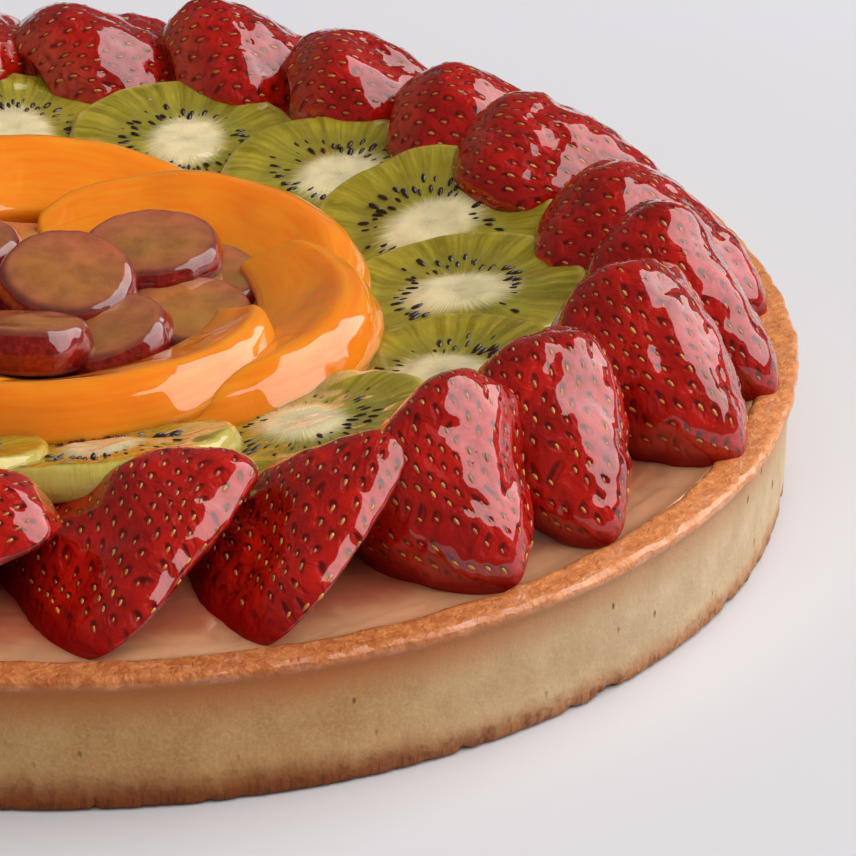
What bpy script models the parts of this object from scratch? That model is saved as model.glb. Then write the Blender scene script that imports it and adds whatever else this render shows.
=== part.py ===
"""Fruit tart with a 26 cm crust: a baked shell, a custard filling, and rings of halved strawberries,
kiwi slices and peach crescents round a heap of grape slices.

Units are metres and +Z is up. The origin is the centre of the crust's flat base.
Each fruit piece is one body. It lies on the piece beside it, and its hidden underside follows that
piece's shape with a thin gap.
"""

import math
import random

import bmesh
import bpy
from mathutils import Euler, Matrix, Vector
from mathutils.bvhtree import BVHTree

MM = 0.001
GAP = 0.3 * MM  # between neighbouring pieces
MEETING = 1.2  # how many gaps apart two pieces still meet
MERGE = 0.01 * MM  # closer points are one
SHARP_ANGLE = 40  # between faces, in degrees, from which an edge is shaded sharp

# Crust: a straight wall with a narrow lip, on a flat base
CRUST_HEIGHT = 24.5 * MM
WALL_RADIUS = 130.5 * MM
LIP_RADIUS = 132 * MM
LIP_DEPTH = 3.5 * MM
RIM_RADIUS = 125 * MM  # inner edge of the rim
BASE_THICKNESS = 5 * MM
ROUNDING = 1.2 * MM
CRUST_SIDES = 56

# Custard: fills the shell to just below the rim
CUSTARD_HEIGHT = 22.8 * MM

# Halved strawberries: tips on the rim, leaf ends swept back counter-clockwise, each with its
# counter-clockwise side raised on the next
BERRY_COUNT = 25
BERRY_SHOULDER = 0.29  # widest point, as a share of the length from the leaf end
BERRY_LEAF_SCAR = 0.45  # width of the cut leaf end, as a share of the full width
BERRY_BACK_CURVE = 2.4  # how square the shoulder is behind the widest point
BERRY_NOSE = 0.6  # how round the tip is
BERRY_DOME = 0.9  # how the height follows the width
BERRY_TIP_SHARE = 0.985  # where the tip is cut blunt, as a share of the length
BERRY_LEVEL = CUSTARD_HEIGHT + 1.2 * MM
BERRY_STEPS = 6
BERRY_SIDES = 6
# Angle and radius of the tip; length, width and height; yaw, pitch and roll, in degrees and mm. Then how
# far the leaf end curves aside, in mm, and how full the flanks are
BERRIES = (
    (253.0, 124.0, 44.0, 37.0, 15.0, -34.0, 8.0, 30.0, 3.0, 1.20),
    (274.3, 123.3, 43.8, 49.0, 10.0, -8.7, 8.1, 30.1, 3.6, 1.05),
    (287.2, 123.7, 39.5, 46.0, 9.4, -19.5, 6.4, 38.0, 7.2, 1.19),
    (307.3, 125.2, 34.6, 37.0, 17.7, 2.7, 17.0, 31.7, 8.0, 1.09),
    (317.6, 125.4, 38.7, 31.4, 16.1, -14.7, 19.3, 21.5, 7.9, 1.28),
    (335.3, 128.4, 40.4, 33.8, 21.5, -24.3, 11.0, 28.0, 4.3, 1.48),
    (346.9, 128.6, 41.7, 28.9, 20.5, -33.4, 10.2, 18.6, 4.5, 1.36),
    (1.6, 127.3, 42.8, 36.1, 17.1, -30.7, 7.8, 16.3, -0.6, 1.40),
    (16.7, 122.1, 44.9, 35.9, 15.8, -36.3, 9.7, 14.9, 2.1, 1.43),
    (29.5, 120.4, 42.6, 31.4, 15.3, -36.7, 9.0, 14.8, 2.8, 1.39),
    (46.1, 120.9, 39.9, 33.0, 15.5, -37.6, 6.8, 15.2, 3.4, 1.18),
    (59.7, 121.6, 40.3, 35.1, 15.0, -40.4, 5.9, 16.0, 3.6, 1.15),
    (73.8, 123.3, 44.7, 36.8, 13.4, -37.6, 4.3, 15.0, 3.1, 1.26),
    (91.0, 123.0, 40.0, 36.0, 16.0, -40.0, 7.0, 16.0, 3.0, 1.25),
    (106.0, 123.0, 40.0, 34.0, 16.0, -38.0, 8.0, 18.0, 3.0, 1.25),
)
# Ranges of the same sizes for the berries that close the ring
BERRY_RANGES = (
    (122, 124),
    (38, 42),
    (32, 36),
    (15, 17),
    (-42, -34),
    (8, 11),
    (14, 22),
    (1, 4),
    (1.15, 1.4),
)

# Kiwi slices: a ring of thick discs, each with its counter-clockwise side on the next
KIWI_RADIUS = 22.8 * MM
KIWI_THICKNESS = 6 * MM
KIWI_BULGE = 0.12  # of the edge, as a share of the thickness
KIWI_SIDES = 16
KIWI_SIZES = (0.97, 1.03)  # range of radii, as a share of the usual one
KIWI_OVALS = (0.94, 1.0)  # range of width to length
# Angle, ring radius and level of the centre; roll and pitch. In degrees and mm
KIWIS = (
    (-107, 71, 30.5, 6, -17),
    (-82, 70, 31.5, 5, -19),
    (-53, 72, 30.0, 7, -13),
    (-26, 76, 28.0, 6, -10),
    (0, 73, 27.7, 3, -8),
    (23, 76, 27.8, 10, -16),
    (44, 75, 27.4, 4, -6),
    (69, 73, 27.0, 4, -6),
    (94, 74, 26.9, 6, -6),
    (118, 74, 26.9, 7, -7),
    (142, 75, 27.0, 6, -6),
    (166, 74, 26.8, 7, -8),
    (190, 75, 27.1, 6, -6),
    (211, 74, 26.9, 6, -7),
    (232, 75, 26.8, 6, -6),
)

# Peach crescents: a bowl-shaped ring; each lies on a cut face, its round back outwards
PEACH_CENTRE = Vector((4 * MM, 0))
PEACH_WIDTH = 25 * MM
PEACH_HEIGHT = 11.5 * MM
PEACH_LEVEL = 25.4 * MM
PEACH_LOW_SIZE = 0.3  # of the lower end, as a share of the full size
PEACH_TAPER = 0.7  # how the size falls to both ends
PEACH_CURL = 2  # how the inner edge's radius changes along the slice
PEACH_CLIMB = 2.5  # how the slice climbs to its raised end
PEACH_STEPS = 8
# Angles of the lower and the raised end, radius of the inner edge at each, size and lift of the
# raised end. In degrees and mm
PEACHES = (
    (-142, -33, 36, 31, 0.38, 8.0),
    (-92, 14, 37, 31, 0.50, 5.0),
    (-32, 102, 33, 20, 0.28, 3.0),
    (46, 166, 37, 34, 0.40, 3.5),
    (126, 222, 34, 36, 0.35, 3.5),
    (180, 262, 34, 37, 0.35, 3.5),
)
# Cross-section of a crescent: outwards from its inner edge as a share of the width, and up as a
# share of the height
PEACH_SECTION = (
    (0.94, 0.00),
    (1.00, 0.38),
    (0.86, 0.84),
    (0.68, 1.00),
    (0.00, 0.34),
    (0.03, 0.00),
)

# Grape slices: thick barrels heaped in the middle, lowest first
GRAPE_BULGE = 0.16
GRAPE_SIDES = 12
# Place across and along, level, radius, thickness, slope and the side it slopes down to. In mm
# and degrees
GRAPES = (
    (31, 9, 27.3, 12.0, 6.5, 5, 200),
    (25, -7, 27.4, 12.2, 6.5, 6, -120),
    (-6, 20, 27.6, 12.0, 6.5, 6, 90),
    (-25, 4, 27.3, 12.2, 6.5, 6, 180),
    (-19, -17, 27.4, 12.0, 6.5, 8, 220),
    (3, -1, 26.8, 12.0, 6.0, 4, 0),
    (11, -20, 29.8, 12.0, 7.0, 16, -170),
    (19, 12, 31.6, 12.8, 6.5, 6, -130),
    (-3, -26, 32.4, 11.8, 8.0, 15, 85),
    (-15, 9, 32.2, 12.2, 6.5, 10, 180),
    (4, -6, 34.4, 12.4, 6.5, 15, -85),
)

# Colour, roughness
CRUST_FINISH = ((0.66, 0.42, 0.20), 0.8)
CUSTARD_FINISH = ((0.85, 0.68, 0.38), 0.25)
BERRY_FINISH = ((0.55, 0.02, 0.02), 0.12)
KIWI_FINISH = ((0.36, 0.42, 0.08), 0.2)
PEACH_FINISH = ((0.87, 0.28, 0.02), 0.12)
GRAPE_FINISH = ((0.40, 0.16, 0.11), 0.12)


def clear_scene():
    for item in list(bpy.data.objects):
        bpy.data.objects.remove(item, do_unlink=True)


def finish(name, colour, roughness):
    material = bpy.data.materials.new(name)
    material.use_nodes = True
    shader = material.node_tree.nodes["Principled BSDF"]
    shader.inputs["Base Color"].default_value = (*colour, 1)
    shader.inputs["Roughness"].default_value = roughness
    shader.inputs["Metallic"].default_value = 0
    return material


def polar(radius, angle, height):
    turn = math.radians(angle)
    return Vector((radius * math.cos(turn), radius * math.sin(turn), height))


def body(name, bm, look):
    """An object from a closed mesh, its faces pointing out and its round parts shaded smooth."""
    bmesh.ops.recalc_face_normals(bm, faces=bm.faces)
    mesh = bpy.data.meshes.new(name)
    bm.to_mesh(mesh)
    bm.free()
    mesh.materials.append(look)
    mesh.shade_smooth()
    mesh.set_sharp_from_angle(angle=math.radians(SHARP_ANGLE))
    item = bpy.data.objects.new(name, mesh)
    bpy.context.collection.objects.link(item)
    return item


def lofted(loops):
    """A closed skin through loops of points, its first and last loop filled."""
    bm = bmesh.new()
    rings = [[bm.verts.new(point) for point in loop] for loop in loops]
    count = len(rings[0])
    for ring, following in zip(rings, rings[1:]):
        for k in range(count):
            after = (k + 1) % count
            bm.faces.new((ring[k], ring[after], following[after], following[k]))
    bm.faces.new(rings[0][::-1])
    bm.faces.new(rings[-1])
    return bm


def turned(outline, sides):
    """A closed skin that turns an outline of (radius, height) about the Z axis, from axis to axis."""
    bm = bmesh.new()
    points = [bm.verts.new((radius, 0, height)) for radius, height in outline]
    edges = [bm.edges.new(pair) for pair in zip(points, points[1:])]
    bmesh.ops.spin(
        bm,
        geom=points + edges,
        axis=(0, 0, 1),
        cent=(0, 0, 0),
        steps=sides,
        angle=math.tau,
        use_merge=True,
    )
    bmesh.ops.remove_doubles(bm, verts=bm.verts, dist=MERGE)
    return bm


def crust_outline():
    lip_bottom = CRUST_HEIGHT - LIP_DEPTH
    return (
        (0, 0),
        (WALL_RADIUS - ROUNDING, 0),
        (WALL_RADIUS, ROUNDING),
        (WALL_RADIUS, lip_bottom),
        (LIP_RADIUS, lip_bottom + ROUNDING),
        (LIP_RADIUS, CRUST_HEIGHT - ROUNDING),
        (LIP_RADIUS - ROUNDING, CRUST_HEIGHT),
        (RIM_RADIUS + ROUNDING, CRUST_HEIGHT),
        (RIM_RADIUS, CRUST_HEIGHT - ROUNDING),
        (RIM_RADIUS, BASE_THICKNESS),
        (0, BASE_THICKNESS),
    )


def custard_outline():
    edge = RIM_RADIUS - GAP
    return (
        (0, BASE_THICKNESS + GAP),
        (edge, BASE_THICKNESS + GAP),
        (edge, CUSTARD_HEIGHT),
        (0, CUSTARD_HEIGHT),
    )


def clip_below(bm, placement, level):
    """Cut off what lies under a level plane of the tart and close the cut."""
    to_piece = placement.inverted()
    normal = (to_piece.to_3x3() @ Vector((0, 0, 1))).normalized()
    cut = bmesh.ops.bisect_plane(
        bm,
        geom=bm.verts[:] + bm.edges[:] + bm.faces[:],
        plane_co=to_piece @ Vector((0, 0, level)),
        plane_no=normal,
        clear_inner=True,
        dist=MERGE,
    )
    edges = [part for part in cut["geom_cut"] if isinstance(part, bmesh.types.BMEdge)]
    bmesh.ops.holes_fill(bm, edges=edges, sides=0)
    bmesh.ops.remove_doubles(bm, verts=bm.verts, dist=2 * MERGE)


def seated(name, bm, look, place, roll, pitch, heading):
    """A fruit piece put in its place and cut level where it would sink into the custard."""
    turn = Euler([math.radians(angle) for angle in (roll, pitch, heading)])
    clip_below(bm, Matrix.LocRotScale(place, turn, None), CUSTARD_HEIGHT + GAP)
    piece = body(name, bm, look)
    piece.location = place
    piece.rotation_euler = turn
    return piece


def berry_fullness(share, flank):
    """Width of a strawberry at a share of its length from the leaf end, of its full width."""
    if share < BERRY_SHOULDER:
        back = (BERRY_SHOULDER - share) / BERRY_SHOULDER
        return 1 - (1 - BERRY_LEAF_SCAR) * back**BERRY_BACK_CURVE
    onward = (share - BERRY_SHOULDER) / (1 - BERRY_SHOULDER)
    return (1 - onward**flank) ** BERRY_NOSE


def half_berry(length, width, height, bend, flank):
    """Half a strawberry on its cut face: the tip at the origin, the leaf end towards -X."""
    loops = []
    for step in range(BERRY_STEPS + 1):
        share = BERRY_TIP_SHARE * (1 - math.cos(math.pi * step / BERRY_STEPS)) / 2
        fullness = berry_fullness(share, flank)
        aside = bend * (1 - share) ** 2
        loop = []
        for side in range(BERRY_SIDES + 1):
            turn = math.pi * side / BERRY_SIDES
            across = width / 2 * fullness * math.cos(turn) + aside
            up = height * fullness**BERRY_DOME * math.sin(turn)
            loop.append((-length * (1 - share), across, up))
        loops.append(loop)
    return lofted(loops)


def add_berries(look):
    chance = random.Random(3)
    rows = list(BERRIES)
    spacing = (rows[0][0] - rows[-1][0]) / (BERRY_COUNT - len(BERRIES) + 1)
    while len(rows) < BERRY_COUNT:
        angle = rows[-1][0] + spacing
        rows.append((angle, *(chance.uniform(*ends) for ends in BERRY_RANGES)))
    berries = []
    for k, (angle, radius, length, width, height, yaw, pitch, roll, bend, flank) in enumerate(rows):
        bm = half_berry(length * MM, width * MM, height * MM, bend * MM, flank)
        place = polar(radius * MM, angle, BERRY_LEVEL)
        berries.append(seated(f"strawberry_{k + 1:02d}", bm, look, place, roll, pitch, angle + yaw))
    return berries


def disc(radius, thickness, sides, bulge, stretch=1.0):
    """A thick slice: flat faces and an edge that swells by a share of the thickness."""
    loops = []
    for level, grow in ((-0.5, 0), (0, bulge), (0.5, 0)):
        reach = radius - (bulge - grow) * thickness
        loop = []
        for side in range(sides):
            turn = math.tau * side / sides
            loop.append((reach * math.cos(turn), reach * stretch * math.sin(turn), level * thickness))
        loops.append(loop)
    return lofted(loops)


def add_kiwis(look):
    chance = random.Random(5)
    kiwis = []
    for k, (angle, radius, level, roll, pitch) in enumerate(KIWIS):
        reach = KIWI_RADIUS * chance.uniform(*KIWI_SIZES)
        bm = disc(reach, KIWI_THICKNESS, KIWI_SIDES, KIWI_BULGE, chance.uniform(*KIWI_OVALS))
        place = polar(radius * MM, angle, level * MM)
        kiwis.append(seated(f"kiwi_{k + 1:02d}", bm, look, place, roll, pitch, angle))
    return kiwis


def crescent(low_angle, high_angle, low_radius, high_radius, end_size, lift):
    """A peach slice bent along its ring, tapered to both ends and raised towards the second."""
    loops = []
    for step in range(PEACH_STEPS + 1):
        share = step / PEACH_STEPS
        angle = low_angle + (high_angle - low_angle) * share
        inner = (low_radius + (high_radius - low_radius) * share**PEACH_CURL) * MM
        least = PEACH_LOW_SIZE if share < 0.5 else end_size
        size = least + (1 - least) * math.sin(math.pi * share) ** PEACH_TAPER
        level = PEACH_LEVEL + lift * MM * share**PEACH_CLIMB
        loop = []
        for out, up in PEACH_SECTION:
            reach = inner + out * size * PEACH_WIDTH
            loop.append(polar(reach, angle, level + up * size * PEACH_HEIGHT))
        loops.append(loop)
    return lofted(loops)


def add_peaches(look):
    peaches = []
    for k, shape in enumerate(PEACHES):
        piece = body(f"peach_{k + 1:02d}", crescent(*shape), look)
        piece.location = (*PEACH_CENTRE, 0)
        peaches.append(piece)
    return peaches


def add_grapes(look):
    grapes = []
    for k, (across, along, level, radius, thickness, slope, towards) in enumerate(GRAPES):
        bm = disc(radius * MM, thickness * MM, GRAPE_SIDES, GRAPE_BULGE)
        place = Vector((across, along, level)) * MM
        grapes.append(seated(f"grape_{k + 1:02d}", bm, look, place, 0, slope, towards))
    return grapes


def world_points(piece, swell):
    """A piece's points and faces in the tart's frame, grown along its normals."""
    place = piece.matrix_world
    points = []
    for vertex in piece.data.vertices:
        points.append(place @ (vertex.co + vertex.normal * swell))
    return points, [face.vertices[:] for face in piece.data.polygons]


def meet(piece, other):
    """Whether two pieces touch or come within about the gap of each other."""
    first = BVHTree.FromPolygons(*world_points(piece, 0))
    second = BVHTree.FromPolygons(*world_points(other, MEETING * GAP))
    return bool(first.overlap(second))


def swollen(piece):
    """A hidden cutter in the shape of a piece, grown by the gap on every side."""
    bm = bmesh.new()
    bm.from_mesh(piece.data)
    bm.normal_update()
    moves = [vertex.normal * GAP * vertex.calc_shell_factor() for vertex in bm.verts]
    for vertex, move in zip(bm.verts, moves):
        vertex.co += move
    mesh = bpy.data.meshes.new(piece.name + "_room")
    bm.to_mesh(mesh)
    bm.free()
    cutter = bpy.data.objects.new(mesh.name, mesh)
    bpy.context.collection.objects.link(cutter)
    cutter.location = piece.location
    cutter.rotation_euler = piece.rotation_euler
    cutter.hide_render = True
    cutter.display_type = "WIRE"
    return cutter


def lay_on(piece, beneath, cutters):
    """Give a piece's underside room for each of the pieces it lies on."""
    for other in beneath:
        if other is piece or not meet(piece, other):
            continue
        if other.name not in cutters:
            cutters[other.name] = swollen(other)
        cut = piece.modifiers.new("room for " + other.name, "BOOLEAN")
        cut.operation = "DIFFERENCE"
        cut.solver = "EXACT"
        cut.object = cutters[other.name]


def main():
    clear_scene()
    crust = body("crust", turned(crust_outline(), CRUST_SIDES), finish("baked crust", *CRUST_FINISH))
    body("custard", turned(custard_outline(), CRUST_SIDES), finish("custard", *CUSTARD_FINISH))
    berries = add_berries(finish("strawberry", *BERRY_FINISH))
    kiwis = add_kiwis(finish("kiwi", *KIWI_FINISH))
    peaches = add_peaches(finish("peach", *PEACH_FINISH))
    grapes = add_grapes(finish("grape", *GRAPE_FINISH))
    bpy.context.view_layer.update()

    cutters = {}
    for k, berry in enumerate(berries):
        lay_on(berry, [crust, berries[(k + 1) % len(berries)], *kiwis], cutters)
    for k, kiwi in enumerate(kiwis):
        lay_on(kiwi, [kiwis[k - 1]], cutters)
    for k, peach in enumerate(peaches):
        lay_on(peach, [*kiwis, peaches[(k + 1) % len(peaches)]], cutters)
    for k, grape in enumerate(grapes):
        lay_on(grape, [*peaches, *grapes[:k]], cutters)


main()
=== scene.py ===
import math
import random

import bpy
import numpy as np
from mathutils import Euler, Matrix, Vector


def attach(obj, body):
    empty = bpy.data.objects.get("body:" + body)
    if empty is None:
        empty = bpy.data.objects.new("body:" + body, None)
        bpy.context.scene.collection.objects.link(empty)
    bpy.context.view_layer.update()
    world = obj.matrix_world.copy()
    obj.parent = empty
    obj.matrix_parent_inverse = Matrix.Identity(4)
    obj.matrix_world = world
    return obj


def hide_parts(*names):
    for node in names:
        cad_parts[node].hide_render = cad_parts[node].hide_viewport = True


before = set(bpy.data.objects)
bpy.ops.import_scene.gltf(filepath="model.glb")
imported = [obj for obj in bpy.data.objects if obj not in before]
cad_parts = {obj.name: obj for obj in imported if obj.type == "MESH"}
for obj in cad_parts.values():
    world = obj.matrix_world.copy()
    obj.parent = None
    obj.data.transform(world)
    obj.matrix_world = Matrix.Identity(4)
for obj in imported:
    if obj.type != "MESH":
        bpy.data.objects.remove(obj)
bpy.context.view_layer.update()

MM = 0.001
UP = np.array((0.0, 0.0, 1.0))

# Crust and custard
CRUST_HEIGHT = 24.5 * MM
WALL_RADIUS = 130.5 * MM
LIP_RADIUS = 132 * MM
LIP_DEPTH = 3.5 * MM
RIM_RADIUS = 125 * MM
CUSTARD_HEIGHT = 22.8 * MM
CUSTARD_RISE = 0.6 * MM
CRUST_SIDES = 1200

# Halved strawberries: angle and radius of the tip; length, width and height; yaw, pitch and roll; how
# far the leaf end curves aside, and how full the flanks are
BERRY_LEVEL = CUSTARD_HEIGHT + 1.2 * MM
BERRY_COUNT = 25
BERRIES = (
    (253.0, 124.0, 44.0, 37.0, 15.0, -34.0, 8.0, 30.0, 3.0, 1.20),
    (274.3, 123.3, 43.8, 49.0, 10.0, -8.7, 8.1, 30.1, 3.6, 1.05),
    (287.2, 123.7, 39.5, 46.0, 9.4, -19.5, 6.4, 38.0, 7.2, 1.19),
    (307.3, 125.2, 34.6, 37.0, 17.7, 2.7, 17.0, 31.7, 8.0, 1.09),
    (317.6, 125.4, 38.7, 31.4, 16.1, -14.7, 19.3, 21.5, 7.9, 1.28),
    (335.3, 128.4, 40.4, 33.8, 21.5, -24.3, 11.0, 28.0, 4.3, 1.48),
    (346.9, 128.6, 41.7, 28.9, 20.5, -33.4, 10.2, 18.6, 4.5, 1.36),
    (1.6, 127.3, 42.8, 36.1, 17.1, -30.7, 7.8, 16.3, -0.6, 1.40),
    (16.7, 122.1, 44.9, 35.9, 15.8, -36.3, 9.7, 14.9, 2.1, 1.43),
    (29.5, 120.4, 42.6, 31.4, 15.3, -36.7, 9.0, 14.8, 2.8, 1.39),
    (46.1, 120.9, 39.9, 33.0, 15.5, -37.6, 6.8, 15.2, 3.4, 1.18),
    (59.7, 121.6, 40.3, 35.1, 15.0, -40.4, 5.9, 16.0, 3.6, 1.15),
    (73.8, 123.3, 44.7, 36.8, 13.4, -37.6, 4.3, 15.0, 3.1, 1.26),
    (91.0, 123.0, 40.0, 36.0, 16.0, -40.0, 7.0, 16.0, 3.0, 1.25),
    (106.0, 123.0, 40.0, 34.0, 16.0, -38.0, 8.0, 18.0, 3.0, 1.25),
)
BERRY_RANGES = ((122, 124), (38, 42), (32, 36), (15, 17), (-42, -34), (8, 11), (14, 22), (1, 4), (1.15, 1.4))
BERRY_SHOULDER = 0.29
BERRY_LEAF_SCAR = 0.45
BERRY_NOSE = 0.6
BERRY_SQUARE = 0.9
BERRY_ALONG = 76
BERRY_ROUND = 84
BERRY_UNDER = 8

# Kiwi slices: angle, ring radius and level of the centre; roll and pitch
KIWI_RADIUS = 22.8 * MM
KIWI_THICKNESS = 6 * MM
KIWIS = (
    (-107, 71, 30.5, 6, -17),
    (-82, 70, 31.5, 5, -19),
    (-53, 72, 30.0, 7, -13),
    (-26, 76, 28.0, 6, -10),
    (0, 73, 27.7, 3, -8),
    (23, 76, 27.8, 10, -16),
    (44, 75, 27.4, 4, -6),
    (69, 73, 27.0, 4, -6),
    (94, 74, 26.9, 6, -6),
    (118, 74, 26.9, 7, -7),
    (142, 75, 27.0, 6, -6),
    (166, 74, 26.8, 7, -8),
    (190, 75, 27.1, 6, -6),
    (211, 74, 26.9, 6, -7),
    (232, 75, 26.8, 6, -6),
)

# Peach crescents: angles of the lower and the raised end, radius of the inner edge at each, size and
# lift of the raised end
PEACH_CENTRE = np.array((4 * MM, 0, 0))
PEACH_WIDTH = 25 * MM
PEACH_HEIGHT = 11.5 * MM
PEACH_LEVEL = 25.4 * MM
PEACHES = (
    (-142, -33, 36, 31, 0.38, 8.0),
    (-92, 14, 37, 31, 0.50, 5.0),
    (-32, 102, 33, 20, 0.28, 3.0),
    (46, 166, 37, 34, 0.40, 3.5),
    (126, 222, 34, 36, 0.35, 3.5),
    (180, 262, 34, 37, 0.35, 3.5),
)
PEACH_SECTION = ((0.94, 0.0), (1.0, 0.38), (0.86, 0.84), (0.68, 1.0), (0.0, 0.34), (0.03, 0.0))

# Grape slices: place across and along, level, radius, thickness, slope and the side it slopes to
GRAPES = (
    (31, 9, 27.3, 12.0, 6.5, 5, 200),
    (25, -7, 27.4, 12.2, 6.5, 6, -120),
    (-6, 20, 27.6, 12.0, 6.5, 6, 90),
    (-25, 4, 27.3, 12.2, 6.5, 6, 180),
    (-19, -17, 27.4, 12.0, 6.5, 8, 220),
    (3, -1, 26.8, 12.0, 6.0, 4, 0),
    (11, -20, 29.8, 12.0, 7.0, 16, -170),
    (19, 12, 31.6, 12.8, 6.5, 6, -130),
    (-3, -26, 32.4, 11.8, 8.0, 15, 85),
    (-15, 9, 32.2, 12.2, 6.5, 10, 180),
    (4, -6, 34.4, 12.4, 6.5, 15, -85),
)

# Camera
CAMERA_DISTANCE = 1.0614
CAMERA_HEIGHT_ANGLE = 26.234
CAMERA_PAN = 3.669
CAMERA_TILT = 0.175
CAMERA_LENS = 252.3


# ---------------------------------------------------------------- node trees

class Wires:
    """Short ways to add and join nodes in a tree."""

    def __init__(self, tree):
        self.tree = tree

    def put(self, socket, value):
        if isinstance(value, bpy.types.NodeSocket):
            self.tree.links.new(value, socket)
        else:
            socket.default_value = value

    def node(self, kind, settings=None, inputs=None):
        made = self.tree.nodes.new(kind)
        for name, value in (settings or {}).items():
            setattr(made, name, value)
        for name, value in (inputs or {}).items():
            self.put(made.inputs[name], value)
        return made

    def math(self, operation, *values, clamp=False):
        made = self.node("ShaderNodeMath", {"operation": operation, "use_clamp": clamp})
        for socket, value in zip(made.inputs, values):
            self.put(socket, value)
        return made.outputs[0]

    def vector(self, operation, *values):
        made = self.node("ShaderNodeVectorMath", {"operation": operation})
        for k, value in enumerate(values):
            name = "Scale" if operation == "SCALE" and k == 1 else k
            self.put(made.inputs[name], value)
        return made.outputs["Value" if operation in ("LENGTH", "DOT_PRODUCT", "DISTANCE") else "Vector"]

    def ramp(self, value, low, high, start=0.0, end=1.0):
        """A smooth step of a value from low to high."""
        made = self.node("ShaderNodeMapRange", {"interpolation_type": "SMOOTHSTEP"})
        for name, number in (
            ("Value", value), ("From Min", low), ("From Max", high), ("To Min", start), ("To Max", end)
        ):
            self.put(made.inputs[name], number)
        return made.outputs["Result"]

    def noise(self, vector, scale, detail=2.0, roughness=0.5, distortion=0.0):
        made = self.node(
            "ShaderNodeTexNoise",
            None,
            {"Vector": vector, "Scale": scale, "Detail": detail, "Roughness": roughness, "Distortion": distortion},
        )
        return made.outputs[0]

    def split(self, vector):
        made = self.node("ShaderNodeSeparateXYZ", None, {"Vector": vector})
        return made.outputs["X"], made.outputs["Y"], made.outputs["Z"]

    def join(self, x, y, z):
        return self.node("ShaderNodeCombineXYZ", None, {"X": x, "Y": y, "Z": z}).outputs["Vector"]

    def tint(self, factor, first, second, blend="MIX"):
        made = self.tree.nodes.new("ShaderNodeMix")
        made.data_type = "RGBA"
        made.blend_type = blend
        sockets = {socket.identifier: socket for socket in made.inputs}
        self.put(sockets["Factor_Float"], factor)
        for name, colour in (("A_Color", first), ("B_Color", second)):
            if isinstance(colour, tuple):
                colour = (*colour, 1.0)
            self.put(sockets[name], colour)
        return next(s for s in made.outputs if s.identifier == "Result_Color")


def new_group(name, kind, inputs, outputs):
    """A node group with named sockets. Returns its tree's wires, and its inputs and output node."""
    tree = bpy.data.node_groups.new(name, kind)
    for socket, (socket_type, value) in inputs.items():
        made = tree.interface.new_socket(name=socket, in_out="INPUT", socket_type=socket_type)
        if value is not None:
            made.default_value = value
    for socket, socket_type in outputs.items():
        tree.interface.new_socket(name=socket, in_out="OUTPUT", socket_type=socket_type)
    wires = Wires(tree)
    return wires, wires.node("NodeGroupInput").outputs, wires.node("NodeGroupOutput").inputs


def use_group(wires, group, inputs):
    return wires.node("ShaderNodeGroup", {"node_tree": group}, inputs).outputs


# ---------------------------------------------------------------- shapes

def polar(radius, angle, height):
    turn = math.radians(angle)
    return np.array((radius * math.cos(turn), radius * math.sin(turn), height))


def placement(place, roll, pitch, heading):
    turn = Euler([math.radians(angle) for angle in (roll, pitch, heading)])
    return np.array(Matrix.LocRotScale(Vector(place), turn, None))


def moved(points, place):
    return points @ place[:3, :3].T + place[:3, 3]


def lumps(points, size, seed, waves=18):
    """Smooth unevenness, mostly within -1 and 1, with bumps of about the given size."""
    chance = np.random.default_rng(seed)
    ways = chance.normal(size=(waves, 3))
    ways *= (math.tau / size * chance.uniform(0.6, 1.3, waves) / np.linalg.norm(ways, axis=1))[:, None]
    return np.sin(points @ ways.T + chance.uniform(0, math.tau, waves)).sum(-1) / math.sqrt(2 * waves)


def unit(vectors):
    return vectors / np.maximum(np.linalg.norm(vectors, axis=-1, keepdims=True), 1e-12)


def add_object(name, points, faces, material, attributes=None, smooth=True):
    mesh = bpy.data.meshes.new(name)
    mesh.from_pydata(points.tolist(), [], faces)
    for key, values in (attributes or {}).items():
        mesh.attributes.new(key, "FLOAT_VECTOR", "POINT").data.foreach_set("vector", values.ravel())
    if smooth:
        mesh.shade_smooth()
    if material:
        mesh.materials.append(material)
    mesh.update()
    item = bpy.data.objects.new(name, mesh)
    bpy.context.scene.collection.objects.link(item)
    return item


def skin(name, rings, poles, material, facts=None, pole_facts=None):
    """A closed skin through rings of points, from one pole to the other. Facts are vectors on the points."""
    rows, sides = rings.shape[:2]
    points = np.vstack([rings.reshape(-1, 3), poles])
    first, last = rows * sides, rows * sides + 1
    faces = []
    for row in range(rows - 1):
        low, high = row * sides, (row + 1) * sides
        for side in range(sides):
            after = (side + 1) % sides
            faces.append((low + side, low + after, high + after, high + side))
    top = (rows - 1) * sides
    for side in range(sides):
        after = (side + 1) % sides
        faces.append((after, side, first))
        faces.append((top + side, top + after, last))
    corners = points[np.array([face[:3] for face in faces])]
    volume = np.einsum("ij,ij->i", corners[:, 0], np.cross(corners[:, 1], corners[:, 2])).sum()
    centre = points.mean(0)
    corners = corners - centre
    volume = np.einsum("ij,ij->i", corners[:, 0], np.cross(corners[:, 1], corners[:, 2])).sum()
    if volume < 0:
        faces = [face[::-1] for face in faces]
    values = {}
    for key, fact in (facts or {}).items():
        values[key] = np.vstack([fact.reshape(-1, 3), pole_facts[key]])
    return add_object(name, points, faces, material, values)


def plain(item):
    """Turn a piece with modifiers into a plain mesh at the origin."""
    bpy.context.view_layer.update()
    graph = bpy.context.evaluated_depsgraph_get()
    mesh = bpy.data.meshes.new_from_object(item.evaluated_get(graph), depsgraph=graph)
    item.modifiers.clear()
    spare = item.data
    item.data = mesh
    bpy.data.meshes.remove(spare)
    return item


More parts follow.
